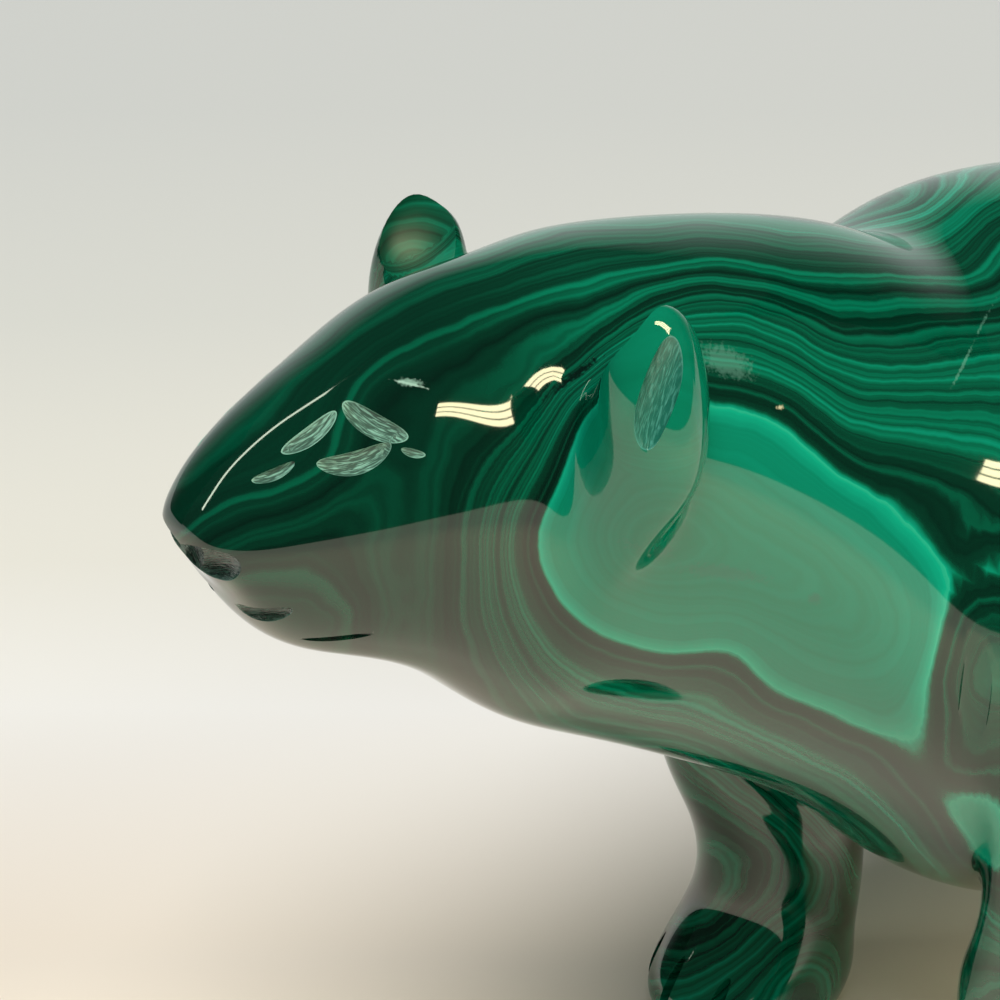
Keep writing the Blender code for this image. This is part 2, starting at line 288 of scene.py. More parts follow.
def cageMesh():
    mesh = bmesh.new()
    crease = mesh.edges.layers.float.new("crease_edge")
    rings = [[mesh.verts.new(place) for place in sectionRing(section)] for section in body["sections"]]
    count = body["ringPoints"]
    leftOut = set()                 # faces that a leg or an ear grows from
    for side in (-1, 1):
        for first, ringStart, rows in ((legs["flankPoint"], legs["fore"][0], 2),
                                       (legs["flankPoint"], legs["hind"][0], 2),
                                       (ears["point"], ears["section"], 1)):
            for ring in range(ringStart, ringStart + rows):
                leftOut |= {(ring, min(sidePoint(first + step, side), sidePoint(first + step + 1, side)))
                            for step in range(2)}
    for ring in range(len(rings) - 1):
        for point in range(count):
            after = (point + 1) % count
            if (ring, point) not in leftOut:
                mesh.faces.new((rings[ring][point], rings[ring][after],
                                rings[ring + 1][after], rings[ring + 1][point]))
    for side in (-1, 1):
        growLeg(mesh, rings, "fore", side, crease)
        growLeg(mesh, rings, "hind", side, crease)
        growEar(mesh, rings, side)
    turned = count // 8             # sets the caps' grids square to the crest
    gridCap(mesh, rings[0][turned:] + rings[0][:turned], -body["swell"])
    gridCap(mesh, rings[-1][turned:] + rings[-1][:turned], body["swell"])
    loose = [corner for corner in mesh.verts if not corner.link_faces]
    bmesh.ops.delete(mesh, geom=loose, context="VERTS")
    bmesh.ops.recalc_face_normals(mesh, faces=mesh.faces)
    return mesh


# Growth lines of the stone. Malachite grows in shells, and where they come to the surface they show
# as bands. Each line has the depth of its shell and the points it runs through, seen square from
# the left front: how far right and how far up, in millimetres. Below 0 is the pale heart behind
# the ear, above 0 the darker shells round it. A third number says how much deeper the shells get
# for each millimetre to the left of the line's run.
growth = {
    "heartRim": (0.0, (
        (-37.0, 59.0), (-38.5, 57.0), (-39.2, 54.0), (-40.6, 51.0), (-41.3, 49.0), (-40.8, 46.8),
        (-39.2, 44.3), (-36.0, 42.1), (-31.5, 40.8), (-26.8, 41.3), (-23.8, 38.1), (-17.5, 35.3),
        (-13.1, 33.4), (-10.3, 30.1), (-7.6, 25.7), (-5.7, 22.6)), -1.1),
    "heartTop": (0.0, (
        (-29.8, 58.3), (-26.0, 58.4), (-24.1, 57.4), (-21.2, 55.3), (-18.3, 53.5), (-15.3, 51.4),
        (-12.3, 48.4), (-9.8, 45.9), (-8.1, 47.5), (-6.9, 48.4)), 0.7),
    "heart": (-6.0, ((-33.7, 48.8),)),
    "secondHeart": (-5.0, ((-23.7, 45.6),)),
    "betweenHearts": (-3.2, ((-15.0, 42.0), (-33.0, 54.5), (-34.0, 60.0))),
    "darkEdge": (1.0, (
        (-28.0, 59.5), (-26.0, 59.6), (-23.2, 58.4), (-20.2, 56.0), (-17.3, 54.3), (-14.3, 53.8),
        (-11.3, 53.0), (-8.1, 51.6)), 0.8),
    "belt": (5.0, (
        (-29.9, 63.1), (-26.6, 63.5), (-24.0, 62.3), (-21.1, 60.9), (-18.6, 59.7), (-18.0, 59.3),
        (-15.3, 59.4), (-10.1, 59.7), (-6.5, 59.4)), 0.7),
    "cheek": (7.7, (
        (-46.0, 42.0), (-46.3, 45.2), (-46.0, 50.1), (-44.9, 53.6), (-43.6, 55.4), (-41.8, 57.3),
        (-40.0, 59.5), (-37.2, 61.9), (-34.4, 64.5), (-30.5, 66.3), (-26.5, 66.2), (-22.9, 65.3),
        (-20.0, 63.7), (-19.3, 63.2), (-17.8, 63.8), (-13.9, 64.0), (-9.6, 64.2), (-5.9, 64.9)), 0.55),
    "jaw": (9.3, (
        (-50.0, 41.0), (-49.8, 43.8), (-49.1, 51.9), (-49.0, 55.4), (-48.1, 58.1), (-46.3, 60.1),
        (-43.6, 62.1), (-40.9, 63.9), (-36.8, 65.7), (-33.2, 67.0)), 0.45),
    "muzzle": (8.6, ((-60.0, 49.2), (-56.5, 49.4), (-53.4, 50.8), (-51.4, 53.4))),
    "chin": (7.2, ((-62.0, 45.0), (-58.0, 43.0), (-54.2, 43.8))),
    "paleLine": (10.6, (
        (-64.5, 49.8), (-62.5, 51.7), (-60.6, 52.3), (-58.3, 52.6), (-55.8, 53.7), (-54.3, 55.9),
        (-54.2, 57.2), (-53.6, 58.8), (-52.7, 60.3), (-50.8, 61.7), (-48.1, 63.2), (-44.6, 64.8),
        (-41.2, 65.8), (-38.1, 66.6), (-35.3, 67.7), (-33.1, 68.4), (-29.3, 69.1), (-26.3, 69.1),
        (-23.5, 68.7), (-21.3, 68.2), (-19.6, 68.5), (-17.5, 68.7), (-13.2, 68.8), (-8.7, 69.2),
        (-6.8, 69.6), (-5.4, 71.6), (-4.7, 72.5)), 0.65),
    "darkPair": (12.4, (
        (-64.5, 53.0), (-61.0, 57.0), (-57.2, 61.1), (-53.6, 63.5), (-49.7, 65.7), (-46.4, 67.1),
        (-42.7, 68.8), (-38.9, 69.8), (-35.1, 70.5), (-29.1, 71.2), (-26.0, 70.9), (-22.6, 70.2),
        (-20.1, 70.6), (-17.2, 70.3), (-12.8, 70.3), (-9.0, 70.7), (-8.1, 71.9), (-4.3, 74.7))),
    "crest": (15.0, ((-57.5, 63.2), (-45.0, 70.4), (-34.4, 72.8), (-22.0, 73.2), (-14.0, 72.6))),
    "throat": (4.5, (
        (-39.4, 38.4), (-33.3, 35.7), (-26.9, 33.3), (-20.2, 30.0), (-12.9, 25.2), (-8.1, 21.3))),
    "underThroat": (8.0, ((-44.0, 38.0), (-30.0, 31.0), (-16.0, 22.0))),
    "shoulderCrease": (2.6, ((-8.0, 43.6), (-9.2, 38.8), (-9.4, 32.3))),
    "shoulder": (1.6, ((-5.0, 43.0), (-5.0, 34.0), (-3.0, 26.0), (-9.5, 50.3), (-7.6, 50.0))),
    "upperArm": (3.8, ((0.0, 44.0), (0.0, 30.0), (4.0, 20.0))),
    "hump": (19.0, ((-10.0, 77.0), (10.0, 84.0))),
    "humpSlope": (14.0, ((1.0, 79.0), (4.0, 75.5))),
    "humpFoot": (8.5, ((5.0, 72.0), (12.0, 70.0))),
    "flankHeart": (-7.0, ((30.0, 46.0),)),
    "haunchHeart": (-6.0, ((62.0, 44.0),)),
    "rumpHeart": (-2.0, ((80.0, 36.0), (10.0, -6.0))),
    "ridges": (10.0, (
        (15.0, 58.0), (30.0, 64.0), (46.0, 52.0), (45.0, 33.0), (28.0, 28.0), (75.0, 54.0), (62.0, 25.0),
        (10.0, 30.0), (2.0, 6.0), (60.0, 6.0), (-22.0, 16.0))),
    "backRidge": (16.0, ((35.0, 76.0), (66.0, 68.0), (50.0, 73.0))),
    "hollows": (2.0, ((55.0, 62.0), (14.0, 14.0), (72.0, 14.0), (-12.0, 8.0), (48.0, 14.0), (18.0, 70.0))),
}
shellRun = {                        # how the shells run between those lines, in millimetres
    "slopeReach": 0.8,              # how far beside a line its slope is given
    "softness": 2.0,                # over how far a line's bend is rounded
    "ease": 0.6,                    # how far the shells may pass beside their lines to run smoothly
    "farDrift": (9.0, 5.0),         # how far they have moved where they reach the right side
    "farStart": 2.0,                # where that move starts, right of the middle
    "farSpan": 20.0,                # and over how far it grows
    "farSwing": 14.0,               # how slowly it swings to and fro along the bear
    "batch": 8000,                  # places worked out at a time
}


def growthKnots():
    knots = []
    for depth, points, *slope in growth.values():
        knots += [(*point, depth) for point in points]
        if slope:
            for here, there in zip(points, points[1:]):
                run = np.subtract(there, here)
                left = np.array((-run[1], run[0])) / np.hypot(*run)
                for side in (-shellRun["slopeReach"], shellRun["slopeReach"]):
                    beside = np.add(here, there) / 2 + left * side
                    knots.append((*beside, depth + side * slope[0]))
    knots = np.array(knots)
    return knots[:, :2], knots[:, 2]


def shellDepths(places):            # depth of the growth shell at each place, in millimetres
    right, up, back = (np.array(axis) for axis in viewAxes())
    seen = np.stack((places @ right, places @ up), axis=1)
    across = np.clip((places[:, 1] - shellRun["farStart"]) / shellRun["farSpan"], 0.0, 1.0)
    ease = across * across * (3 - 2 * across)
    seen += ease[:, None] * np.array(shellRun["farDrift"]) * np.cos(places[:, :1] / shellRun["farSwing"])
    knots, depths = growthKnots()

    def kernel(first, second):
        gap = first[:, None, :] - second[None, :, :]
        return np.sqrt((gap ** 2).sum(axis=2) + shellRun["softness"] ** 2)

    count = len(knots)
    system = np.zeros((count + 3, count + 3))
    system[:count, :count] = kernel(knots, knots) - shellRun["ease"] * np.eye(count)
    system[:count, count:] = np.column_stack((knots, np.ones(count)))
    system[count:, :count] = system[:count, count:].T
    weights = np.linalg.solve(system, np.concatenate((depths, np.zeros(3))))
    flat = np.column_stack((seen, np.ones(len(seen))))
    return kernel(seen, knots) @ weights[:count] + flat @ weights[count:]


# Marks of the carving wheel, on the left side and mirrored: place, the way it runs, the way it faces,
# half length, half width, depth, how far its middle bows sideways, and how it was left.
wheelMarks = {
    "nostril": ((-79.0, -1.5, 72.7), (0.35, -0.88, 0.30), (-0.94, -0.30, -0.15),
                4.6, 1.7, 2.4, 0, "halfPolished"),
    "mouth": ((-76.2, -3.0, 69.3), (0.42, -0.88, 0.22), (-0.85, -0.50, -0.15),
              4.4, 0.85, 1.3, -0.35, "halfPolished"),
    "lip": ((-70.6, -6.6, 67.2), (0.82, -0.56, 0.10), (-0.45, -0.70, -0.55),
            2.9, 0.34, 0.6, 0, "polished"),
    "eyeFront": ((-71.1, -4.1, 82.1), (0.87, -0.10, 0.48), (-0.46, -0.50, 0.74),
                 3.1, 0.85, 0.55, -0.6, "rough"),
    "eyeBack": ((-66.9, -6.2, 82.4), (0.55, -0.72, -0.42), (-0.40, -0.66, 0.64),
                2.8, 0.85, 0.55, -0.5, "rough"),
    "eyeUnder": ((-69.0, -6.6, 80.5), (0.91, -0.36, 0.18), (-0.38, -0.78, 0.50),
                 2.6, 0.8, 0.5, -0.6, "rough"),
    "eyeTip": ((-73.8, -4.2, 79.6), (0.86, -0.37, 0.35), (-0.48, -0.55, 0.68),
               1.6, 0.42, 0.3, -0.25, "rough"),
    "eyeTail": ((-65.4, -8.4, 80.4), (0.78, -0.55, -0.25), (-0.38, -0.74, 0.55),
                0.9, 0.3, 0.25, -0.1, "rough"),
    "earFace": ((-51.6, -16.9, 84.2), (0.42, 0.06, 0.9), (-0.28, -0.94, 0.2),
                4.7, 1.3, 0.8, 0, "lapped"),
    "earBack": ((-50.6, -12.9, 86.7), (0.6, -0.2, 0.6), (-0.25, 0.84, 0.45),
                3.9, 3.2, 1.6, 0, "softPolished"),
    "shoulder": ((-25.8, -22.0, 55.6), (0.10, 0.05, 0.99), (-0.40, -0.91, 0.05),
                 8.5, 1.3, 0.6, -0.6, "polished"),
}
toes = {
    "shares": (-0.5, 0.0, 0.5),     # across the paw, as shares of its half width
    "along": (0.9, 0.0, 0.45),      # the way a groove runs, up and back over the paw
    "facing": (-0.45, 0.0, 0.9),
    "mark": (4.2, 0.55, 3.4, 0.0),  # half length, half width, depth and bow of one groove
    "setBack": 1.1,                 # how far the outer grooves stand back from the middle one
    "reach": 0.86,                  # where they start, as a share of the paw's half length
    "rise": 1.6,                    # height over the paw's widest level
}
lap = {                             # the flat lap that ground the soles level
    "size": (200.0, 90.0, 10.0),
    "taken": 0.1,                   # how much of the feet it took, in mm
}
cutterSegments = 48                 # round a wheel mark


def addCutter(folder, name, shape, material):
    shape.normal_update()
    bmesh.ops.recalc_face_normals(shape, faces=shape.faces)
    data = bpy.data.meshes.new(name)
    shape.to_mesh(data)
    shape.free()
    data.materials.append(material)
    folder.objects.link(bpy.data.objects.new(name, data))


def mirrored(side):                 # leaves the left side as it is and turns it into the right one
    return Matrix.Diagonal((1, -side, 1))


def markAxes(along, facing, side):  # along, across and out of a mark
    facing = Vector(facing).normalized()
    along = Vector(along)
    along = (along - along.dot(facing) * facing).normalized()
    return [mirrored(side) @ axis for axis in (along, facing.cross(along), facing)]


def addWheel(folder, name, place, along, facing, halfLength, halfWidth, depth, bow, material, side):
    ball = bmesh.new()
    bmesh.ops.create_uvsphere(ball, u_segments=cutterSegments, v_segments=cutterSegments // 2, radius=1)
    along, across, out = markAxes(along, facing, side)
    middle = mirrored(side) @ Vector(place)
    for corner in ball.verts:
        x, y, z = corner.co
        aside = y * halfWidth + bow * (1 - x * x)
        corner.co = middle + along * x * halfLength + across * aside + out * z * depth
    addCutter(folder, name, ball, material)


def addCutters(folder, finishes):
    for name, (*shape, finish) in wheelMarks.items():
        for side in (-1, 1):
            addWheel(folder, f"{name}{side}", *shape, finishes[finish], side)
    for kind in ("fore", "hind"):
        levels = legs[kind][1]
        along, out, height, halfLength, halfWidth = levels[-2]
        for side in (-1, 1):
            stance = legs["stance"][(kind, side)] * (len(levels) - 1) / len(levels)
            front = along + stance - halfLength * toes["reach"]
            for share in toes["shares"]:
                place = (front + 2 * abs(share) * toes["setBack"], -(out + share * halfWidth),
                         height + toes["rise"])
                addWheel(folder, f"{kind}Toe{side}{share}", place, toes["along"], toes["facing"],
                         *toes["mark"], finishes["polished"], side)
    block = bmesh.new()
    middle = Matrix.Translation((0, 0, lap["taken"] - lap["size"][2] / 2))
    bmesh.ops.create_cube(block, size=1, matrix=middle @ Matrix.Diagonal((*lap["size"], 1)))
    addCutter(folder, "soleLap", block, finishes["polished"])


def carveBear(finishes):
    data = bpy.data.meshes.new("malachiteBear")
    cage = cageMesh()
    cage.to_mesh(data)
    cage.free()
    data.shade_smooth()
    bear = bpy.data.objects.new("malachiteBear", data)
    scene.collection.objects.link(bear)
    for material in finishes.values():
        bear.data.materials.append(material)
    cutters = bpy.data.collections.new("wheels")
    scene.collection.children.link(cutters)
    addCutters(cutters, finishes)
    smooth = bear.modifiers.new("smooth", "SUBSURF")
    smooth.levels = smooth.render_levels = body["smoothing"]
    cut = bear.modifiers.new("cut", "BOOLEAN")
    cut.operation = "DIFFERENCE"
    cut.solver = "MANIFOLD"         # quick, and every cutter is closed
    cut.operand_type = "COLLECTION"
    cut.collection = cutters
    shaped = bear.evaluated_get(bpy.context.evaluated_depsgraph_get())
    carved = bpy.data.meshes.new_from_object(shaped)
    bear.modifiers.clear()
    bear.data = carved
    for cutter in list(cutters.objects):
        bpy.data.objects.remove(cutter)
    bpy.data.collections.remove(cutters)
    return bear


def drawnPlaces(mesh):
    places = np.empty(len(mesh.vertices) * 3)
    mesh.vertices.foreach_get("co", places)
    return places.reshape(-1, 3)


# The ears lie in a knot of the stone of their own, so their bands run in arcs round it.
earKnot = {
    "middle": (-51.5, 82.0),        # along and up
    "right": (2.2, 0.55),           # shell depth in the middle, and how much it grows to the mm
    "left": (-7.6, 0.25),
    "rootOut": 12.0,                # how far out an ear leaves the head at the height rootUp
    "rootUp": 88.0,
    "rootLean": 0.3,                # how much further out it does so for each mm below that
    "rootFade": 0.8,                # over how many mm the knot's bands take over there
    "along": (-50.5, 7.0),          # middle and reach of the ear along the bear
    "alongFade": 8.0,               # how steeply the bands end there
    "foot": (78.5, 2.5),            # height of the ear's foot, and the fade above it
}


def earShare(places):               # 1 on the ears, 0 on the head
    out = np.abs(places[:, 1]) - earKnot["rootOut"] - earKnot["rootLean"] * (earKnot["rootUp"] - places[:, 2])
    middle, reach = earKnot["along"]
    along = 1 - np.abs(places[:, 0] - middle) / reach
    foot, fade = earKnot["foot"]
    return (np.clip(out / earKnot["rootFade"], 0, 1) * np.clip(along * earKnot["alongFade"], 0, 1)
            * np.clip((places[:, 2] - foot) / fade, 0, 1))


def earDepths(places):
    ring = np.hypot(places[:, 0] - earKnot["middle"][0], places[:, 2] - earKnot["middle"][1])
    right, left = (start + growing * ring for start, growing in (earKnot["right"], earKnot["left"]))
    return np.where(places[:, 1] > 0, right, left)


def addGrowth(mesh):                # depth of the shell at every vertex, for the stone's bands
    places = drawnPlaces(mesh)
    middle = (places.min(axis=0) + places.max(axis=0)) / 2
    places = places - np.array((middle[0], middle[1], places[:, 2].min()))
    batches = np.array_split(places, 1 + len(places) // shellRun["batch"])
    depths = np.concatenate([shellDepths(batch) for batch in batches])
    depths += earShare(places) * (earDepths(places) - depths)
    mesh.attributes.new("growth", "FLOAT", "POINT").data.foreach_set("value", depths)
    return depths


scoredFinishes = ("halfPolished", "rough", "lapped")       # these keep the score lines of the wheel


def addMarkPlaces(mesh, names):     # along, across and distance from the rim, inside every scored mark
    inside, outside = set(), set()
    for polygon in mesh.polygons:
        scored = mesh.materials[polygon.material_index].name in names
        (inside if scored else outside).update(polygon.vertices)
    rim = KDTree(len(inside & outside))
    for corner in sorted(inside & outside):
        rim.insert(mesh.vertices[corner].co, corner)
    rim.balance()
    marks = [(mirrored(side) @ Vector(place), markAxes(along, facing, side), halfLength, bow)
             for place, along, facing, halfLength, _, _, bow, finish in wheelMarks.values()
             if finish in scoredFinishes for side in (-1, 1)]
    values = np.zeros((len(mesh.vertices), 3))
    for corner in sorted(inside):
        spot = mesh.vertices[corner].co
        middle, (along, across, _), halfLength, bow = min(marks, key=lambda mark: (mark[0] - spot).length)
        run = (spot - middle).dot(along)
        aside = (spot - middle).dot(across) - bow * (1 - (run / halfLength) ** 2)
        values[corner] = (run, aside, rim.find(spot)[2])
    mesh.attributes.new("markPlace", "FLOAT_VECTOR", "POINT").data.foreach_set("vector", values.ravel())


def fitToBox(bear):                 # the drawn bear takes the length, width and height of the solid
    places = drawnPlaces(bear.data)
    low, high = Vector(places.min(axis=0)), Vector(places.max(axis=0))
    share = [(cadBox[1][axis] - cadBox[0][axis]) / (high[axis] - low[axis]) for axis in range(3)]
    scale = Matrix.Diagonal((*share, 1))
    bear.data.transform(Matrix.Translation(cadBox[0]) @ scale @ Matrix.Translation(-low))


def perMillimetre(size):            # noise scale for features of that size, on coordinates in metres
    return perMetre / size


# Malachite: what its shells look like where the polish cuts them.
shells = (                          # depth in mm, tone there from 0 dark to 1 pale, and how banded it is
    (-8.0, 0.58, 0.15), (-3.0, 0.64, 0.2), (-1.0, 0.7, 0.25), (-0.3, 0.88, 0.2), (-0.05, 0.96, 0.2),
    (0.06, 0.36, 0.4), (0.3, 0.12, 0.3), (0.8, 0.08, 0.3), (1.0, 0.26, 0.4), (1.3, 0.12, 0.4),
    (2.0, 0.26, 0.6), (2.8, 0.44, 0.8), (4.4, 0.4, 0.8), (4.8, 0.24, 0.8), (5.1, 0.46, 0.9),
    (6.0, 0.44, 0.9), (7.4, 0.36, 0.9), (7.7, 0.52, 0.8), (8.0, 0.32, 0.8), (9.2, 0.28, 0.8),
    (10.4, 0.26, 0.7), (10.55, 0.62, 0.4), (10.7, 0.28, 0.7), (12.2, 0.34, 0.8), (12.45, 0.56, 0.6),
    (12.7, 0.38, 0.8), (14.5, 0.48, 0.9), (17.0, 0.5, 1.0), (20.0, 0.48, 1.0), (24.0, 0.48, 1.0))
banding = {
    "wander": ((7.0, 0.4), (1.8, 0.08), (0.5, 0.012)),      # how long and how far the shells wander, in mm
    "bands": ((0.45, 0.22), (1.5, 0.24), (4.2, 0.2), (11.0, 0.07)),      # bands to the mm, and their contrast
    "face": (-62.0, -50.0),         # mm along the bear, over which the face grows more even
    "faceBanded": 0.45,             # how banded it is there, as a share
    "faceDarker": 0.14,             # and how much darker
}


def shellStops():                   # tone goes in the red channel and bandedness in the green
    first, last = shells[0][0], shells[-1][0]
    return [((depth - first) / (last - first), (tone, banded, 0.0)) for depth, tone, banded in shells]


def growthBands(tree):              # tone of the stone, 0 dark to 1 pale, from the depth of its shells
    place = addNode(tree, "ShaderNodeTexCoord").outputs["Object"]
    depth = addNode(tree, "ShaderNodeAttribute", attribute_name="growth").outputs["Fac"]
    for size, reach in banding["wander"]:
        wander = addNode(tree, "ShaderNodeTexNoise", {
            "Vector": place, "Scale": perMillimetre(size), "Detail": 2.0})
        shift = addNode(tree, "ShaderNodeMath", {0: wander.outputs["Fac"], 1: 0.5}, operation="SUBTRACT")
        moved = addNode(tree, "ShaderNodeMath", {0: shift.outputs[0], 1: 2 * reach, 2: depth},
                        operation="MULTIPLY_ADD")
        depth = moved.outputs[0]
    spread = addNode(tree, "ShaderNodeMapRange", {
        "Value": depth, "From Min": shells[0][0], "From Max": shells[-1][0]})
    base = addNode(tree, "ShaderNodeValToRGB", {"Fac": spread.outputs["Result"]})
    setStops(base.color_ramp, shellStops())
    parts = addNode(tree, "ShaderNodeSeparateColor", {"Color": base.outputs["Color"]})
    spot = addNode(tree, "ShaderNodeSeparateXYZ", {"Vector": place})
    front, back = (along / perMetre for along in banding["face"])
    face = addNode(tree, "ShaderNodeMapRange", {
        "Value": spot.outputs["X"], "From Min": front, "From Max": back,
        "To Min": banding["faceBanded"], "To Max": 1.0})
    banded = addNode(tree, "ShaderNodeMath", {0: parts.outputs["Green"], 1: face.outputs["Result"]},
                     operation="MULTIPLY")
    darker = addNode(tree, "ShaderNodeMapRange", {
        "Value": face.outputs["Result"], "From Min": banding["faceBanded"], "From Max": 1.0,
        "To Min": -banding["faceDarker"], "To Max": 0.0})
    toned = addNode(tree, "ShaderNodeMath", {0: parts.outputs["Red"], 1: darker.outputs["Result"]},
                    operation="ADD")
    tone = toned.outputs[0]
    for frequency, contrast in banding["bands"]:
        bands = addNode(tree, "ShaderNodeTexNoise", {"W": depth, "Scale": frequency, "Detail": 0.0},
                        noise_dimensions="1D")
        swing = addNode(tree, "ShaderNodeMath", {0: bands.outputs["Fac"], 1: 0.5}, operation="SUBTRACT")
        measure = addNode(tree, "ShaderNodeMath", {0: banded.outputs[0], 1: 2 * contrast},
                          operation="MULTIPLY")
        added = addNode(tree, "ShaderNodeMath", {0: swing.outputs[0], 1: measure.outputs[0], 2: tone},
                        operation="MULTIPLY_ADD")
        tone = added.outputs[0]
    return tone, place


malachiteStops = (
    (0.0, "00170f"), (0.2, "013323"), (0.38, "01543c"), (0.55, "027356"), (0.72, "068a6e"),
    (0.86, "0ca483"), (1.0, "4cc49e"))
malachiteIor = 1.78                 # malachite has 1.66 to 1.91, depending on the way light passes through

flaws = {                           # from, to and half width in mm, then the colour and how much of it
    "browScratch": ((-65.9, -5.1, 84.4), (-63.9, -6.9, 83.8), 0.13, "b9dccd", 0.6),
    "neckScuff": ((-43.8, -11.2, 83.0), (-41.0, -12.6, 82.2), 1.3, "6fa595", 0.3),
    "browScar": ((-65.4, -5.6, 84.3), (-64.4, -6.3, 84.1), 0.35, "9fcab9", 0.6),
    # painted shade: a near-black line along the crease where the ear's front meets the neck
    "earFoldPaintedShade": ((-56.0, -9.1, 82.1), (-51.6, -9.5, 84.3), 0.35, "01150f", 0.95),
    "beigeSpeck": ((-39.1, -13.8, 79.0), (-38.8, -13.8, 79.0), 0.25, "c9c2a0", 1.0),
    "neckVein": ((-13.2, -9.0, 80.9), (-18.4, -12.0, 79.0), 0.2, "6fb09c", 0.4),
    "neckVeinEnd": ((-18.4, -12.0, 79.0), (-22.9, -14.4, 77.0), 0.16, "6fb09c", 0.35),
    "behindEar": ((-48.2, -16.3, 84.3), (-46.6, -14.1, 79.0), 0.14, "8cc7b6", 0.6),
    "jawLens": ((-53.4, -15.0, 73.0), (-49.2, -14.4, 70.8), 0.8, "2c6f5b", 0.6),
    "jawWave": ((-48.4, -14.3, 69.4), (-41.2, -15.8, 67.0), 0.7, "2f705d", 0.55),
    "jawDot": ((-37.8, -16.9, 64.9), (-37.4, -16.9, 64.8), 0.5, "2c6f5b", 0.7),
}
flawEdge = {
    "crumb": 0.3,                   # size of the crumbs that break up a flaw's edge, in mm
    "ragged": 1.6,                  # how far they eat into it
    "fade": (1.3, 1.8),             # where it starts to fade and where it has gone
}


def addFlaw(tree, color, place, start, end, halfWidth, tint, share):
    start, end = Vector(start), Vector(end)
    half = (end - start).length / 2 + halfWidth
    run = (end - start).to_track_quat("X", "Z").to_euler()
    turned = addNode(tree, "ShaderNodeMapping", {
        "Vector": place, "Location": (start + end) / 2 / perMetre, "Rotation": run,
        "Scale": Vector((half, halfWidth, halfWidth)) / perMetre}, vector_type="TEXTURE")
    away = addNode(tree, "ShaderNodeVectorMath", {0: turned.outputs["Vector"]}, operation="LENGTH")
    crumbs = addNode(tree, "ShaderNodeTexNoise", {
        "Vector": place, "Scale": perMillimetre(flawEdge["crumb"]), "Detail": 3.0})
    ragged = addNode(tree, "ShaderNodeMath", {
        0: crumbs.outputs["Fac"], 1: flawEdge["ragged"], 2: away.outputs["Value"]}, operation="MULTIPLY_ADD")
    inside = addNode(tree, "ShaderNodeMapRange", {
        "Value": ragged.outputs[0], "From Min": flawEdge["fade"][0], "From Max": flawEdge["fade"][1],
        "To Min": share, "To Max": 0.0})
    mixed = addNode(tree, "ShaderNodeMix", {
        "Factor": inside.outputs["Result"], "A": color, "B": hexColor(tint)}, data_type="RGBA")
    return mixed.outputs["Result"]


def stoneColor(tree):
    tone, place = growthBands(tree)
    bands = addNode(tree, "ShaderNodeValToRGB", {"Fac": tone})
    setStops(bands.color_ramp, malachiteStops)
    color = bands.outputs["Color"]
    for flaw in flaws.values():
        color = addFlaw(tree, color, place, *flaw)
    return color


# Malachite ground fine and buffed: deep green shells under a glassy polish that mirrors floor and lights.
def polishedMalachite(name, roughness):
    material, tree, shader = newMaterial(name)
    color = stoneColor(tree)
    tree.links.new(color, shader.inputs["Base Color"])
    shader.inputs["Roughness"].default_value = roughness
    shader.inputs["IOR"].default_value = malachiteIor
    return material


scoring = {
    "run": (0.5, 5.0, 0.6),         # how fine the score lines are along, across and into a mark
    "toTheMm": 2.2,                 # so they are about 0.1 mm wide and 1 mm long, as 120 grit leaves them
    "lines": (0.48, 0.64),          # where a line starts and where it is palest
    "between": 0.15,                # share of the pale left between the lines
    "rim": (0.05, 0.16),            # a pale edge round a mark, painted as a highlight where the cut's crisp edge catches the light, in mm
    "dulled": 0.6,                  # how much of the stone's own bands the ground tint hides; in the scooped nostrils and mouth that tint is painted shade
    "bump": 0.6,                    # how strongly the lines catch the light
    "lineDepth": 0.1,               # in mm
}


# Malachite ground by the wheel and not buffed: dull, streaked pale along the cut, with a painted highlight as
# a pale rim along its edge.
def scoredMalachite(name, groundTintAndShade, pale, share, roughness):
    material, tree, shader = newMaterial(name)
    color = stoneColor(tree)
    mark = addNode(tree, "ShaderNodeAttribute", attribute_name="markPlace").outputs["Vector"]
    stretched = addNode(tree, "ShaderNodeVectorMath", {0: mark, 1: scoring["run"]}, operation="MULTIPLY")
    lines = addNode(tree, "ShaderNodeTexNoise", {
        "Vector": stretched.outputs[0], "Scale": scoring["toTheMm"], "Detail": 3.0, "Distortion": 0.4})
    scored = addNode(tree, "ShaderNodeMapRange", {
        "Value": lines.outputs["Fac"], "From Min": scoring["lines"][0], "From Max": scoring["lines"][1],
        "To Min": share * scoring["between"], "To Max": share})
    depth = addNode(tree, "ShaderNodeSeparateXYZ", {"Vector": mark})
    # painted highlight: the band just inside a mark's edge is made pale, as where the edge catches the light
    rim = addNode(tree, "ShaderNodeMapRange", {
        "Value": depth.outputs["Z"], "From Min": scoring["rim"][0], "From Max": scoring["rim"][1],
        "To Min": share, "To Max": 0.0})
    amount = addNode(tree, "ShaderNodeMath", {0: scored.outputs["Result"], 1: rim.outputs["Result"]},
                     operation="MAXIMUM")
    dulled = addNode(tree, "ShaderNodeMix", {
        "Factor": scoring["dulled"], "A": color, "B": hexColor(groundTintAndShade)}, data_type="RGBA")
    mixed = addNode(tree, "ShaderNodeMix", {
        "Factor": amount.outputs[0], "A": dulled.outputs["Result"], "B": hexColor(pale)}, data_type="RGBA")
    tree.links.new(mixed.outputs["Result"], shader.inputs["Base Color"])
    raised = addNode(tree, "ShaderNodeBump", {
        "Height": lines.outputs["Fac"], "Strength": scoring["bump"],
        "Distance": scoring["lineDepth"] / perMetre})
    tree.links.new(raised.outputs["Normal"], shader.inputs["Normal"])
    shader.inputs["Roughness"].default_value = roughness
    shader.inputs["IOR"].default_value = malachiteIor
    return material


sharpAngle = 40.0                   # degrees, above which an edge of a cut stays crisp
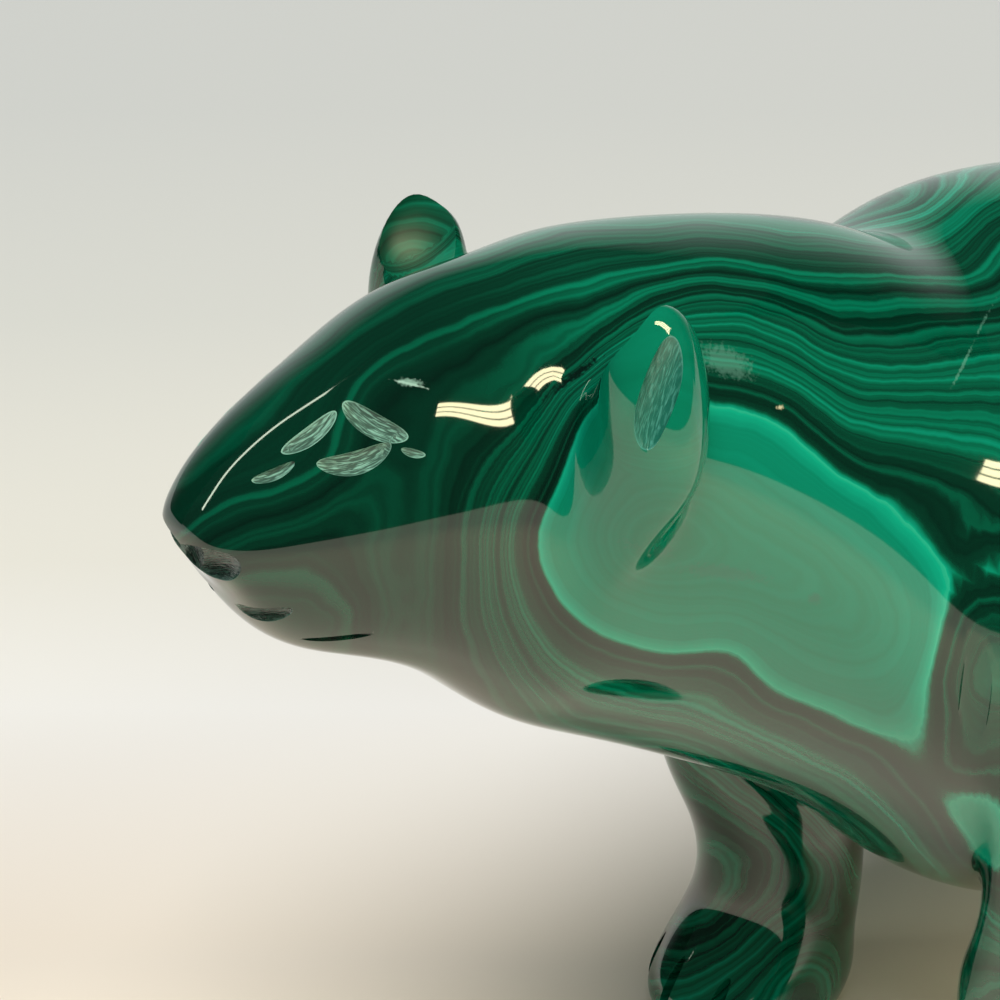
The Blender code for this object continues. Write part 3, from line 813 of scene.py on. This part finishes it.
# Each finish has its name and roughness, and a scored one its ground tint, pale tint and the pale's share;
# the scooped one's dark ground tint is painted shade in the nostrils and mouth.
finishes = {
    "polished": polishedMalachite("polishedMalachite", 0.04),
    "softPolished": polishedMalachite("handRubbedMalachite", 0.42),
    # the dark tint 0a2a22 paints the shade inside the scooped nostrils and mouth
    "halfPolished": scoredMalachite("wheelScoopedMalachite", "0a2a22", "7fb5a5", 0.3, 0.15),
    "rough": scoredMalachite("wheelCutMalachite", "143329", "94cdb9", 0.75, 0.45),
    "lapped": scoredMalachite("lappedMalachite", "0d4a42", "64b8a8", 0.5, 0.28),
}
print("stone made")
bear = carveBear(finishes)
depths = addGrowth(bear.data)
print("growth depths from", round(float(depths.min()), 1), "to", round(float(depths.max()), 1), "mm")
addMarkPlaces(bear.data, [finishes[name].name for name in scoredFinishes])
fitToBox(bear)
bear.data.set_sharp_from_angle(angle=math.radians(sharpAngle))
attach(bear, "root")
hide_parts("bear")
bear.data.calc_loop_triangles()
print("bear carved,", len(bear.data.loop_triangles), "triangles")


heading = math.radians(-view["azimuth"])
forward = Vector((math.sin(heading), math.cos(heading), 0))    # level, away from the camera
surround = {                        # in metres: a wide floor, and paper in an arc behind the bear
    "floorRadius": 3.0,
    "floorPoints": 96,
    "floorReach": 0.4,              # how far behind the bear the floor's shades run
    "floorShades": ((0.05, "ede3d6"), (0.17, "eeedeb"), (0.27, "e1e0da"), (0.5, "d2d4d1"), (0.8, "cbcecd")),
    "paperRadius": 1.4,
    "paperHeight": 1.3,
    "paperSteps": 40,
    "paperSpread": 75.0,            # degrees to each side of the middle
    # the paper's painted glow from its foot to its top, standing in for a lamp's wash
    "paperPaintedGlow": ((0.0, "d2d7d6"), (0.4, "c6cccb"), (0.75, "8a9190"), (1.0, "1c2020")),
    "paperGrey": "202222",
    "paperFade": (0.45, 1.25),      # how far to each side the glow starts and ends its fade
}


def addStage(name, mesh, material):
    data = bpy.data.meshes.new(name)
    mesh.to_mesh(data)
    mesh.free()
    data.materials.append(material)
    stage = bpy.data.objects.new(name, data)
    scene.collection.objects.link(stage)


def paleBoard():                    # matt board, warm near the camera and greyer behind the bear
    material, tree, shader = newMaterial("palePaintedBoard")
    place = addNode(tree, "ShaderNodeTexCoord").outputs["Object"]
    towards = addNode(tree, "ShaderNodeVectorMath", {0: place, 1: forward}, operation="DOT_PRODUCT")
    far = addNode(tree, "ShaderNodeMapRange", {
        "Value": towards.outputs["Value"], "From Min": 0.0, "From Max": surround["floorReach"]})
    shade = addNode(tree, "ShaderNodeValToRGB", {"Fac": far.outputs["Result"]})
    setStops(shade.color_ramp, surround["floorShades"])
    tree.links.new(shade.outputs["Color"], shader.inputs["Base Color"])
    shader.inputs["Roughness"].default_value = 0.9
    shader.inputs["Specular IOR Level"].default_value = 0.1
    return material


def paperWithPaintedGlow():                  # grey paper behind the bear with a painted glow, brightest at its foot and fading upward, in place of a lamp washing it from below
    material, tree, shader = newMaterial("paperWithPaintedGlow")
    place = addNode(tree, "ShaderNodeTexCoord").outputs["Object"]
    height = addNode(tree, "ShaderNodeSeparateXYZ", {"Vector": place})
    fade = addNode(tree, "ShaderNodeMapRange", {
        "Value": height.outputs["Z"], "From Min": 0.0, "From Max": surround["paperHeight"]})
    glow = addNode(tree, "ShaderNodeValToRGB", {"Fac": fade.outputs["Result"]})
    setStops(glow.color_ramp, surround["paperPaintedGlow"])
    shader.inputs["Base Color"].default_value = hexColor(surround["paperGrey"])
    shader.inputs["Roughness"].default_value = 0.9
    sideways = addNode(tree, "ShaderNodeVectorMath", {0: place, 1: viewAxes()[0]}, operation="DOT_PRODUCT")
    offset = addNode(tree, "ShaderNodeMath", {0: sideways.outputs["Value"]}, operation="ABSOLUTE")
    start, end = surround["paperFade"]
    edge = addNode(tree, "ShaderNodeMapRange", {
        "Value": offset.outputs[0], "From Min": start, "From Max": end, "To Min": 1.0, "To Max": 0.0},
        interpolation_type="SMOOTHSTEP")
    # painted light: the paper itself glows with these colours, fading upward and to each side
    tree.links.new(glow.outputs["Color"], shader.inputs["Emission Color"])
    tree.links.new(edge.outputs["Result"], shader.inputs["Emission Strength"])
    return material


def makeStage():
    floor = bmesh.new()
    bmesh.ops.create_circle(floor, cap_ends=True, segments=surround["floorPoints"],
                            radius=surround["floorRadius"])
    addStage("floor", floor, paleBoard())
    paper = bmesh.new()
    radius, steps = surround["paperRadius"], surround["paperSteps"]
    spread = math.radians(surround["paperSpread"])
    middle = math.atan2(forward.y, forward.x)
    turns = [middle + spread * (2 * step / steps - 1) for step in range(steps + 1)]
    low, high = ([paper.verts.new((radius * math.cos(turn), radius * math.sin(turn), height))
                  for turn in turns] for height in (0.0, surround["paperHeight"]))
    for step in range(steps):
        paper.faces.new((low[step], high[step], high[step + 1], low[step + 1]))
    addStage("backdrop", paper, paperWithPaintedGlow())


makeStage()
print("floor and backdrop set")


# A broad soft light overhead that the polish doesn't mirror, and narrow tubes that it does.
lamps = {
    "key": {"place": (-0.5, -0.6, 1.6), "power": 3.15, "color": "fffcf8", "spread": 35.0},
    "head": (-0.065, -0.008, 0.08),          # what the tubes face
    "tubes": {                      # place, run, length, width, number, gap, glow and colour
        "cheekTube": ((0.09, -0.444, 0.40), (0.872, -0.056, -0.487), 0.45, 0.018, 3, 0.004, 14.0, "fff2c4"),
        "noseTube": ((-0.35, 0.2375, 0.471), (0.55, -0.479, 0.683), 0.545, 0.018, 1, 0.0, 8.0, "f2ffe6"),
    },
    "room": ("303432", 1.0),        # colour and strength of the light from all round
}


def addLamp(name, kind, power, color, **settings):
    data = bpy.data.lights.new(name, kind)
    data.energy = power
    data.color = hexColor(color)[:3]
    for key, value in settings.items():
        setattr(data, key, value)
    lamp = bpy.data.objects.new(name, data)
    scene.collection.objects.link(lamp)
    lamp.visible_camera = False
    return lamp


def addTubes(name, place, along, length, width, count, gap, glow, color):      # side by side
    place, along = Vector(place), Vector(along)
    out = (place - Vector(lamps["head"])).normalized()
    along = (along - along.dot(out) * out).normalized()
    across = out.cross(along)
    for number in range(count):
        power = glow * math.pi * length * width         # watts for that glow over the tube
        lamp = addLamp(f"{name}{number}", "AREA", power, color, shape="RECTANGLE", size=length, size_y=width)
        middle = place + across * (number - (count - 1) / 2) * (width + gap)
        lamp.matrix_world = Matrix.Translation(middle) @ Matrix((along, across, out)).transposed().to_4x4()


def makeLight():
    soft = lamps["key"]
    key = addLamp("softKey", "SUN", soft["power"], soft["color"], angle=math.radians(soft["spread"]))
    key.location = soft["place"]
    key.rotation_euler = key.location.to_track_quat("Z", "Y").to_euler()
    key.visible_glossy = False
    for name, tube in lamps["tubes"].items():
        addTubes(name, *tube)
    color, strength = lamps["room"]
    scene.world = bpy.data.worlds.new("room")
    scene.world.use_nodes = True
    background = scene.world.node_tree.nodes["Background"]
    background.inputs["Color"].default_value = hexColor(color)
    background.inputs["Strength"].default_value = strength


makeLight()
print("lights set")
